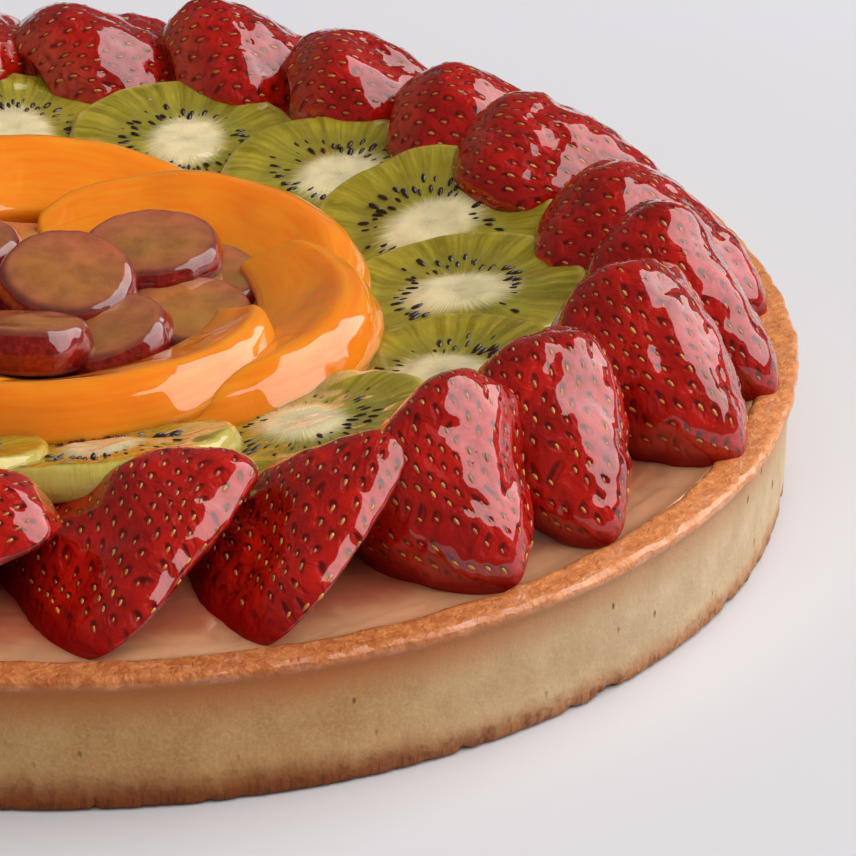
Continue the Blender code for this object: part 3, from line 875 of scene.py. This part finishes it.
def crust_finish(mottle):
    """Shortcrust: sandy wall with pores and cracks darkened as painted shade, browned foot and lip, and a glazed golden
    rim; wall, lip, foot and rim also carry painted light, lighter towards the right where the key light falls and
    darker on the shaded left.
    """
    material, wires, shader = new_finish("baked shortcrust", Coat_Roughness=0.07, Coat_IOR=1.6, Specular_IOR_Level=0.2)
    place = object_place(wires)
    x, y, z = wires.split(place)
    radius = wires.vector("LENGTH", wires.join(x, y, 0.0))
    across = wires.math("DIVIDE", x, radius)
    along = wires.math("DIVIDE", y, radius)
    column = wires.join(wires.math("MULTIPLY", across, 0.13), wires.math("MULTIPLY", along, 0.13), 0.0)
    soft = wires.noise(place, 1 / (9 * MM), 3.0, 0.6)
    grain = wires.noise(place, 1 / (0.7 * MM), 3.0, 0.65)
    coarse_grain = wires.noise(place, 1 / (2.4 * MM), 2.0, 0.6)

    patch = wires.ramp(soft, 0.3, 0.7)
    # Painted light: the wall uses lit copies of its tones towards the right (+x) and shaded copies towards the left
    paler = wires.ramp(x, 35 * MM, 112 * MM)
    wall = wires.tint(paler, wires.tint(patch, CRUST_TAN, CRUST_PALE), wires.tint(patch, CRUST_SAND, CRUST_CREAM))
    wall = wires.tint(wires.math("MULTIPLY", wires.ramp(grain, 0.35, 0.75), 0.4), wall, CRUST_CRUMB)
    # The browned lip is real; painted shade makes it stronger towards the shaded left
    warm = wires.ramp(wires.math("ADD", z, wires.math("MULTIPLY", soft, 5 * MM)), 15.5 * MM, 24 * MM)
    warm = wires.math("MULTIPLY", warm, wires.ramp(paler, 0.0, 1.0, 0.85, 0.5))
    tone = wires.tint(warm, wall, CRUST_LIP)

    # The browned foot is real; painted shade makes it taller and darker towards the shaded left
    reach = wires.ramp(x, -20 * MM, 100 * MM, 8.5 * MM, 5.5 * MM)
    ragged = wires.math("MULTIPLY", wires.math("SUBTRACT", wires.noise(column, 1 / (6 * MM), 2.0, 0.6), 0.5), 4 * MM)
    level = wires.math("ADD", z, ragged)
    foot = wires.math("SUBTRACT", 1.0, wires.ramp(wires.math("DIVIDE", level, reach), 0.2, 1.1))
    tone = wires.tint(foot, tone, wires.tint(paler, CRUST_FOOT, CRUST_FOOT_PALE))
    hair = wires.ramp(wires.noise(column, 1 / (1.2 * MM), 1.0, 0.6), 0.52, 0.62)
    hair = wires.math("MULTIPLY", hair, wires.math("SUBTRACT", 1.0, wires.ramp(wires.math("DIVIDE", level, reach), 0.05, 0.5)))
    # Painted shade: the hairline cracks at the foot are darkened as shade
    tone = wires.tint(wires.math("MULTIPLY", hair, 0.25), tone, CRUST_CRACK_SHADE_AND_SCORCH)
    # The scorch is real browning in patches at the foot
    scorch = wires.math("MULTIPLY", wires.math("MULTIPLY", foot, wires.ramp(coarse_grain, 0.5, 0.68)), 0.6)
    tone = wires.tint(scorch, tone, CRUST_CRACK_SHADE_AND_SCORCH)

    cells = wires.node("ShaderNodeTexVoronoi", {"feature": "F1"},
                       {"Vector": wires.vector("MULTIPLY", place, (1.0, 1.0, 0.55)), "Scale": 1 / (3.6 * MM), "Randomness": 1.0})
    kept = wires.ramp(wires.split(cells.outputs["Color"])[0], 0.42, 0.47)
    high = wires.ramp(z, 2 * MM, 16 * MM, 0.35, 1.0)
    size = wires.math("MULTIPLY", wires.split(cells.outputs["Color"])[1], 0.13)
    pit = wires.math("SUBTRACT", 1.0, wires.ramp(cells.outputs["Distance"], wires.math("MULTIPLY", size, 0.5),
                                                 wires.math("ADD", size, 0.06)))
    pit = wires.math("MULTIPLY", wires.math("MULTIPLY", pit, kept), high)
    side = wires.math("SUBTRACT", 1.0, wires.ramp(z, 20.5 * MM, 22 * MM))
    pit = wires.math("MULTIPLY", pit, side)
    # Painted shade: the pits are darkened as shade in their hollows
    tone = wires.tint(wires.math("MULTIPLY", pit, 0.75), tone, CRUST_PIT_SHADE)

    rim = wires.ramp(wires.math("ADD", z, wires.math("MULTIPLY", wires.math("SUBTRACT", soft, 0.5), 2.5 * MM)), 21.8 * MM, 23.6 * MM)
    baked = wires.ramp(wires.noise(place, 1 / (2.2 * MM), 3.0, 0.6), 0.35, 0.7)
    # The rim's gold mixes real baked mottling with painted light towards the right
    golden = wires.tint(wires.math("ADD", wires.math("MULTIPLY", baked, 0.5), wires.math("MULTIPLY", paler, 0.5)), RIM_DARK, RIM_GOLD)
    tone = wires.tint(rim, tone, golden)
    wires.put(shader["Base Color"], tone)
    wires.put(shader["Roughness"], wires.math("SUBTRACT", 0.78, wires.math("MULTIPLY", rim, 0.4)))
    patches = wires.ramp(wires.noise(place, 1 / (6 * MM), 2.0, 0.6), 0.38, 0.6)
    wires.put(shader["Coat Weight"], wires.math("MULTIPLY", rim, wires.math("ADD", 0.25, wires.math("MULTIPLY", patches, 0.75))))

    sandy = wires.math("MULTIPLY", grain, 0.16 * MM)
    coarse = wires.math("MULTIPLY", coarse_grain, wires.math("ADD", 0.3 * MM, wires.math("MULTIPLY", foot, 0.5 * MM)))
    bubbles = wires.math("MULTIPLY", wires.math("MULTIPLY", wires.noise(place, 1 / (1.6 * MM), 2.0, 0.5, 1.2), rim), 0.5 * MM)
    rough = wires.math("SUBTRACT", 1.0, wires.math("MULTIPLY", rim, 0.75))
    sandy = wires.math("MULTIPLY", sandy, rough)
    dips = wires.math("MULTIPLY", wires.math("ADD", pit, wires.math("MULTIPLY", hair, 0.4)), -0.6 * MM)
    wires.put(shader["Normal"], bumped(wires, wires.math("ADD", wires.math("ADD", coarse, bubbles), wires.math("ADD", sandy, dips))))
    return material


def custard_finish(mottle, ripple):
    material, wires, shader = new_finish(
        "glazed custard", Roughness=0.24, Coat_Weight=1.0, Coat_Roughness=0.04, Coat_IOR=1.6, Subsurface_Weight=0.15, Subsurface_Scale=2 * MM
    )
    place = object_place(wires)
    x, y, _ = wires.split(place)
    radius = wires.vector("LENGTH", wires.join(x, y, 0.0))
    tone = use_group(wires, mottle, {"Vector": place, "Colour": (*CUSTARD, 1), "Size": 14 * MM, "Dark": 0.9, "Light": 1.05})["Colour"]
    # Painted shade and painted red reflection of the berries: the custard is darker and redder towards the rim, between
    # the berry tips
    drift = wires.math("MULTIPLY", wires.math("SUBTRACT", wires.noise(place, 1 / (7 * MM), 2.0), 0.5), 9 * MM)
    painted_shade_near_berries = wires.math("SUBTRACT", 1.0, wires.ramp(wires.math("ADD", radius, drift), 111 * MM, 121 * MM))
    tone = wires.tint(wires.math("MULTIPLY", painted_shade_near_berries, 0.85), tone, CUSTARD_PAINTED_SHADE)
    wires.put(shader["Base Color"], tone)
    arc = wires.join(wires.math("MULTIPLY", radius, 2.0), wires.math("MULTIPLY", x, 0.5), wires.math("MULTIPLY", y, 0.5))
    swirl = wires.math("MULTIPLY", wires.ramp(wires.noise(arc, 1 / (14 * MM), 1.0, 0.5), 0.4, 0.6), 0.25 * MM)
    height = use_group(wires, ripple, {"Vector": place, "Size": 9 * MM, "Depth": 0.8 * MM})["Height"]
    wires.put(shader["Normal"], bumped(wires, wires.math("ADD", height, swirl)))
    return material


def berry_finish(mottle, ripple):
    """Glazed strawberry: dimples round the seeds darkened as painted shade, a smooth skirt by the custard painted
    darker as shade, and a paler leaf end.
    """
    material, wires, shader = new_finish(
        "glazed strawberry", Coat_Weight=1.0, Coat_Roughness=0.02, Coat_IOR=1.66, Specular_IOR_Level=0.05
    )
    place = object_place(wires)
    across, along, _ = wires.split(fact(wires, "lattice"))
    share, _, number = wires.split(fact(wires, "berry"))
    odd = wires.math("MULTIPLY", wires.math("MODULO", wires.math("FLOOR", along), 2.0), 0.5)
    off_across = wires.math("SUBTRACT", wires.math("FRACT", wires.math("ADD", across, odd)), 0.5)
    off_along = wires.math("SUBTRACT", wires.math("FRACT", along), 0.5)
    side = wires.math("MULTIPLY", off_across, SEED_ACROSS / MM)
    ahead = wires.math("MULTIPLY", off_along, SEED_ALONG / MM)

    def spot(half_width, half_length, shift, inner, outer):
        distance = wires.vector("LENGTH", wires.join(
            wires.math("DIVIDE", side, half_width), wires.math("DIVIDE", wires.math("ADD", ahead, shift), half_length), 0.0))
        return wires.math("SUBTRACT", 1.0, wires.ramp(distance, inner, outer))

    _, _, z = wires.split(place)
    uneven = wires.math("MULTIPLY", wires.noise(place, 1 / (6 * MM), 2.0), 4 * MM)
    skirt = wires.math("SUBTRACT", 1.0, wires.ramp(wires.math("ADD", z, uneven), 26.5 * MM, 29.5 * MM))
    bare = wires.math("SUBTRACT", 1.0, skirt)
    well = wires.math("MULTIPLY", spot(0.72, 1.15, 0.1, 0.55, 1.25), bare)
    shade = wires.math("MULTIPLY", spot(0.62, 0.75, 0.75, 0.3, 1.2), bare)

    tone = wires.tint(number, BERRY_RED, BERRY_DEEP)
    tone = use_group(wires, mottle, {"Vector": place, "Colour": tone, "Size": 9 * MM, "Dark": 0.75, "Light": 1.2})["Colour"]
    leaf = wires.math("SUBTRACT", 1.0, wires.ramp(wires.math("ADD", share, wires.math("MULTIPLY", uneven, 12)), 0.02, 0.2))
    tone = wires.tint(wires.math("MULTIPLY", leaf, 0.5), tone, BERRY_PALE)
    # The smooth seedless skirt is real; its darker red low by the custard is painted shade
    tone = wires.tint(wires.math("MULTIPLY", skirt, 0.7), tone, BERRY_SHADED_RED)
    # Painted shade in the seed wells
    tone = wires.tint(wires.math("MULTIPLY", well, 0.35), tone, BERRY_SHADED_RED)
    tone = wires.tint(wires.math("MULTIPLY", shade, 0.75), tone, BERRY_SHADE)
    wires.put(shader["Base Color"], tone)
    wires.put(shader["Roughness"], wires.ramp(wires.noise(place, 1 / (3 * MM), 2.0), 0.3, 0.7, 0.1, 0.22))
    ripples = use_group(wires, ripple, {"Vector": place, "Size": 3.4 * MM, "Depth": 1.25 * MM})["Height"]
    dips = wires.math("MULTIPLY", well, -0.28 * MM)
    wires.put(shader["Coat Weight"], wires.math("SUBTRACT", 1.0, wires.math("MULTIPLY", skirt, 0.75)))
    wires.put(shader["Normal"], bumped(wires, wires.math("ADD", dips, ripples)))
    return material


def seed_finish(name, first, second, mottle):
    material, wires, shader = new_finish(name, Roughness=0.3, Coat_Weight=0.5, Coat_Roughness=0.08)
    place = object_place(wires)
    tone = wires.tint(wires.ramp(wires.noise(place, 1 / (4 * MM), 1.0), 0.35, 0.65), first, second)
    wires.put(shader["Base Color"], use_group(wires, mottle, {"Vector": place, "Colour": tone, "Size": 0.8 * MM, "Dark": 0.7, "Light": 1.3})["Colour"])
    return material


def kiwi_finish(mottle, ripple):
    """Kiwi: cream core with a feathered edge, dark seed ring, streaked flesh and a paler rim."""
    material, wires, shader = new_finish(
        "glazed kiwi", Coat_Weight=1.0, Coat_Roughness=0.04, Specular_IOR_Level=0.05, Subsurface_Weight=0.4,
        Subsurface_Scale=3 * MM
    )
    shader["Subsurface Radius"].default_value = (1.0, 0.9, 0.3)
    place = object_place(wires)
    slice_vector = fact(wires, "slice")
    x, y, number = wires.split(slice_vector)
    share = wires.vector("LENGTH", wires.join(x, wires.math("MULTIPLY", y, 1.0), 0.0))
    oval = wires.vector("LENGTH", wires.join(wires.math("MULTIPLY", x, 0.8), wires.math("MULTIPLY", y, 1.15), 0.0))
    away = wires.math("MAXIMUM", share, 0.02)
    round_ = wires.join(wires.math("DIVIDE", x, away), wires.math("DIVIDE", y, away), wires.math("MULTIPLY", number, 9.0))
    spokes = wires.noise(wires.vector("MULTIPLY", round_, (1.0, 1.0, 1.0)), 9.0, 2.0, 0.6)
    fine = wires.noise(wires.vector("ADD", round_, wires.join(0.0, 0.0, wires.math("MULTIPLY", share, 0.25))), 22.0, 2.0, 0.6)
    feather = wires.math("MULTIPLY", wires.math("SUBTRACT", fine, 0.5), 0.2)
    core = wires.math("SUBTRACT", 1.0, wires.ramp(wires.math("ADD", oval, feather), 0.22, 0.42))
    ring = wires.math("MULTIPLY", wires.ramp(share, 0.3, 0.42), wires.math("SUBTRACT", 1.0, wires.ramp(share, 0.55, 0.74)))
    edge = wires.ramp(share, 0.86, 0.97)
    tone = wires.tint(wires.ramp(spokes, 0.35, 0.65), KIWI_DEEP, KIWI_FLESH)
    tone = wires.tint(wires.math("MULTIPLY", wires.ramp(fine, 0.5, 0.8), 0.35), tone, KIWI_STREAK)
    tone = wires.tint(wires.math("MULTIPLY", ring, 0.6), tone, KIWI_RING)
    tone = wires.tint(edge, tone, KIWI_EDGE)
    tone = wires.tint(core, tone, KIWI_CORE)
    tone = use_group(wires, mottle, {"Vector": place, "Colour": tone, "Size": 7 * MM, "Dark": 0.9, "Light": 1.1})["Colour"]
    wires.put(shader["Base Color"], tone)
    wires.put(shader["Roughness"], wires.ramp(fine, 0.3, 0.7, 0.25, 0.42))
    streaks = wires.math("MULTIPLY", fine, 0.16 * MM)
    ripples = use_group(wires, ripple, {"Vector": place, "Size": 5 * MM, "Depth": 0.5 * MM})["Height"]
    wires.put(shader["Normal"], bumped(wires, wires.math("ADD", streaks, ripples)))
    return material


def peach_finish(mottle, ripple):
    material, wires, shader = new_finish(
        "glazed peach", Roughness=0.3, Coat_Weight=1.0, Coat_Roughness=0.03, Coat_IOR=1.65, Specular_IOR_Level=0.05, Subsurface_Weight=0.7,
        Subsurface_Scale=7 * MM
    )
    shader["Subsurface Radius"].default_value = (1.0, 0.45, 0.1)
    place = object_place(wires)
    run, _, _ = wires.split(fact(wires, "slice"))
    slice_vector = fact(wires, "slice")
    fibre = wires.noise(wires.vector("MULTIPLY", slice_vector, (1.5, 5.0, 5.0)), 3.0, 2.0, 0.6)
    tone = wires.tint(wires.ramp(fibre, 0.2, 0.8), PEACH_DEEP, PEACH_BRIGHT)
    tone = use_group(wires, mottle, {"Vector": place, "Colour": tone, "Size": 22 * MM, "Dark": 0.93, "Light": 1.02})["Colour"]
    wires.put(shader["Base Color"], tone)
    ripples = use_group(wires, ripple, {"Vector": place, "Size": 9 * MM, "Depth": 0.5 * MM})["Height"]
    wires.put(shader["Normal"], bumped(wires, wires.math("ADD", ripples, wires.math("MULTIPLY", fibre, 0.02 * MM))))
    return material


def grape_finish(mottle, ripple):
    """Grape: clear veined flesh on the cut faces inside a thin dark skin."""
    material, wires, shader = new_finish(
        "glazed grape", Roughness=0.2, Coat_Weight=1.0, Coat_Roughness=0.02, Coat_IOR=1.65, Specular_IOR_Level=0.05, Subsurface_Weight=0.6,
        Subsurface_Scale=4 * MM
    )
    shader["Subsurface Radius"].default_value = (1.0, 0.6, 0.3)
    place = object_place(wires)
    x, y, level = wires.split(fact(wires, "slice"))
    number, back, _ = wires.split(fact(wires, "number"))
    share = wires.vector("LENGTH", wires.join(x, y, 0.0))
    away = wires.math("MAXIMUM", share, 0.02)
    round_ = wires.join(wires.math("DIVIDE", x, away), wires.math("DIVIDE", y, away), wires.math("MULTIPLY", number, 9.0))
    spokes = wires.noise(round_, 5.0, 2.0, 0.6)
    blend = wires.noise(wires.vector("ADD", place, wires.join(number, number, number)), 1 / (9 * MM), 2.0)
    rosy = wires.math("ADD", back, wires.math("MULTIPLY", wires.math("SUBTRACT", blend, 0.5), 1.6))
    tone = wires.tint(wires.ramp(rosy, -0.5, 0.75), GRAPE_MIDDLE, GRAPE_FLESH)
    tone = wires.tint(wires.math("MULTIPLY", wires.ramp(spokes, 0.55, 0.8), 0.25), tone, GRAPE_VEIN)
    tone = wires.tint(wires.math("MULTIPLY", wires.ramp(share, 0.45, 0.9), 0.5), tone, GRAPE_PINK)
    tone = wires.tint(wires.math("MULTIPLY", wires.ramp(number, 0.35, 0.6), 0.25), tone, GRAPE_PINK)
    skin_part = wires.math("SUBTRACT", 1.0, wires.ramp(wires.math("ABSOLUTE", level), 0.36, 0.44))
    skin_part = wires.math("MULTIPLY", skin_part, wires.ramp(share, 0.8, 0.9))
    line = wires.math("MULTIPLY", wires.ramp(share, 0.78, 0.93), wires.math("SUBTRACT", 1.0, skin_part))
    tone = wires.tint(wires.math("MULTIPLY", line, 0.8), tone, GRAPE_RIM)
    fleck = wires.ramp(wires.noise(place, 1 / (1.1 * MM), 2.0, 0.6), 0.35, 0.7)
    tone = wires.tint(skin_part, tone, wires.tint(fleck, GRAPE_SKIN, GRAPE_SKIN_BRIGHT))
    tone = use_group(wires, mottle, {"Vector": place, "Colour": tone, "Size": 4 * MM, "Dark": 0.85, "Light": 1.15})["Colour"]
    wires.put(shader["Base Color"], tone)
    ripples = use_group(wires, ripple, {"Vector": place, "Size": 5 * MM, "Depth": 0.3 * MM})["Height"]
    wires.put(shader["Normal"], bumped(wires, ripples))
    return material


# Tones
CRUST_TAN = (0.435, 0.222, 0.074)
CRUST_PALE = (0.548, 0.313, 0.122)
CRUST_SAND = (0.557, 0.392, 0.235)
CRUST_CREAM = (0.661, 0.496, 0.313)
CRUST_CRUMB = (0.644, 0.435, 0.226)
CRUST_LIP = (0.47, 0.144, 0.042)
CRUST_FOOT = (0.235, 0.063, 0.016)
CRUST_FOOT_PALE = (0.487, 0.217, 0.096)
CRUST_CRACK_SHADE_AND_SCORCH = (0.139, 0.044, 0.017)
CRUST_PIT_SHADE = (0.217, 0.078, 0.03)
RIM_GOLD = (0.835, 0.322, 0.104)
RIM_DARK = (0.435, 0.117, 0.028)
CUSTARD = (0.67, 0.345, 0.175)
CUSTARD_PAINTED_SHADE = (0.522, 0.122, 0.061)
BERRY_RED = (0.435, 0.008, 0.003)
BERRY_DEEP = (0.313, 0.006, 0.003)
BERRY_SHADED_RED = (0.261, 0.003, 0.003)
BERRY_SHADE = (0.044, 0.002, 0.001)
BERRY_PALE = (0.539, 0.104, 0.044)
SEED_GOLD = (0.6, 0.24, 0.03)
SEED_BROWN = (0.36, 0.11, 0.015)
KIWI_FLESH = (0.414, 0.329, 0.026)
KIWI_DEEP = (0.235, 0.188, 0.009)
KIWI_STREAK = (0.583, 0.47, 0.113)
KIWI_RING = (0.263, 0.226, 0.028)
KIWI_EDGE = (0.583, 0.47, 0.103)
KIWI_CORE = (0.808, 0.696, 0.395)
KIWI_SEED = (0.012, 0.006, 0.008)
KIWI_SEED_BROWN = (0.045, 0.015, 0.012)
PEACH_BRIGHT = (1., 0.3, 0.012)
PEACH_DEEP = (1., 0.22, 0.007)
GRAPE_FLESH = (0.487, 0.148, 0.048)
GRAPE_MIDDLE = (0.38, 0.165, 0.03)
GRAPE_VEIN = (0.479, 0.261, 0.122)
GRAPE_PINK = (0.36, 0.09, 0.055)
GRAPE_SKIN = (0.174, 0.007, 0.007)
GRAPE_SKIN_BRIGHT = (0.296, 0.017, 0.01)
GRAPE_RIM = (0.113, 0.022, 0.03)
FLOOR = (0.696, 0.696, 0.722)
FLOOR_FAR = (0.87, 0.87, 0.935)


# ---------------------------------------------------------------- room

def add_floor():
    mesh = bpy.data.meshes.new("floor")
    reach = 4.0
    mesh.from_pydata([(-reach, -reach, 0), (reach, -reach, 0), (reach, reach, 0), (-reach, reach, 0)], [], [(0, 1, 2, 3)])
    material, wires, shader = new_finish("pale table", Roughness=0.6)
    place = object_place(wires)
    value = wires.noise(place, 9.0, 2.0)
    near = wires.tint(value, FLOOR, tuple(c * 1.02 for c in FLOOR))
    wires.put(shader["Base Color"], wires.tint(wires.ramp(wires.split(place)[1], 0.05, 0.5), near, FLOOR_FAR))
    mesh.materials.append(material)
    floor = bpy.data.objects.new("floor", mesh)
    bpy.context.scene.collection.objects.link(floor)


def add_light(name, azimuth, elevation, distance, size, power, colour, target=(0.0, 0.0, 0.02)):
    turn, rise = math.radians(azimuth), math.radians(elevation)
    light = bpy.data.lights.new(name, "AREA")
    light.shape = "RECTANGLE"
    light.size, light.size_y = size
    light.energy = power
    light.color = colour
    item = bpy.data.objects.new(name, light)
    place = Vector((math.cos(turn) * math.cos(rise), math.sin(turn) * math.cos(rise), math.sin(rise))) * distance
    item.location = place + Vector(target)
    item.rotation_euler = (-place).to_track_quat("-Z", "Y").to_euler()
    bpy.context.scene.collection.objects.link(item)
    return item


def add_room():
    add_floor()
    world = bpy.data.worlds.new("studio")
    bpy.context.scene.world = world
    world.use_nodes = True
    background = world.node_tree.nodes["Background"]
    background.inputs["Color"].default_value = (0.96, 0.96, 1.0, 1)
    background.inputs["Strength"].default_value = 0.08
    add_light("softbox", 11, 40, 2.0, (2.9, 2.1), 57.0, (1.0, 0.985, 0.98))
    fill = add_light("overhead fill", -100, 56, 2.5, (2.5, 2.5), 32.0, (1.0, 0.97, 0.95))
    fill.visible_glossy = False


def add_camera():
    rise = math.radians(CAMERA_HEIGHT_ANGLE)
    camera = bpy.data.cameras.new("camera")
    camera.lens, camera.sensor_width = CAMERA_LENS, 36
    camera.clip_start, camera.clip_end = 0.05, 20
    item = bpy.data.objects.new("camera", camera)
    bpy.context.scene.collection.objects.link(item)
    place = Vector((0, -CAMERA_DISTANCE * math.cos(rise), CAMERA_DISTANCE * math.sin(rise)))
    aim = (-place).to_track_quat("-Z", "Y").to_matrix().to_4x4()
    aim = aim @ Matrix.Rotation(-math.radians(CAMERA_PAN), 4, "Y") @ Matrix.Rotation(math.radians(CAMERA_TILT), 4, "X")
    item.matrix_world = Matrix.Translation(place) @ aim
    bpy.context.scene.camera = item
    bpy.context.scene.view_settings.view_transform = "Standard"


def hand_over(pieces, nodes=None):
    for piece in pieces:
        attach(piece, "root")
        if nodes is None:
            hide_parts(piece.name.removesuffix("_detail"))


add_room()
add_camera()
ripple, mottle = glaze_ripple_group(), mottle_group()

shell_tree = turned_shell_tree()
crust = grow(
    outline_object("crust_detail", crust_outline()),
    shell_tree,
    {
        "Sides": CRUST_SIDES, "Wobble": 0.7 * MM, "Lumps": 0.28 * MM, "Foot height": 4.5 * MM, "Foot cracks": 0.8 * MM,
        "Rim height": CRUST_HEIGHT, "Rim width": RIM_RADIUS, "Rim bubbles": 0.28 * MM, "Rim waves": 0.9 * MM,
        "Seed": 0.0, "Material": crust_finish(mottle),
    },
)
custard = grow(
    outline_object("custard_detail", custard_outline()),
    shell_tree,
    {
        "Sides": 600, "Lumps": 0.0, "Wobble": 0.5 * MM, "Rim height": CUSTARD_HEIGHT, "Rim width": RIM_RADIUS, "Ridges": 0.0,
        "Seed": 3.0, "Material": custard_finish(mottle, ripple),
    },
)
berries, *berry_seeds = add_berries(berry_finish(mottle, ripple))
kiwis, *kiwi_seeds = add_kiwis(kiwi_finish(mottle, ripple))
peaches = add_peaches(peach_finish(mottle, ripple))
grapes = add_grapes(grape_finish(mottle, ripple))
sower = seed_tree()
achenes = sow("strawberry_seeds", sower, *berry_seeds,
              {"Length": 1.65 * MM, "Width": 0.85 * MM, "Thickness": 0.65 * MM, "Taper": 0.55, "Sink": 0.08 * MM, "Seed": 4},
              seed_finish("strawberry seed", SEED_GOLD, SEED_BROWN, mottle))
pips = sow("kiwi_seeds", sower, *kiwi_seeds,
           {"Length": 2.8 * MM, "Width": 1.3 * MM, "Thickness": 0.9 * MM, "Taper": 0.45, "Sink": 0.1 * MM, "Seed": 8},
           seed_finish("kiwi seed", KIWI_SEED, KIWI_SEED_BROWN, mottle))

hand_over([crust])
hand_over([custard])
hand_over(berries)
hand_over(kiwis)
hand_over(peaches)
hand_over(grapes)
hand_over([achenes], ())
hand_over([pips], ())
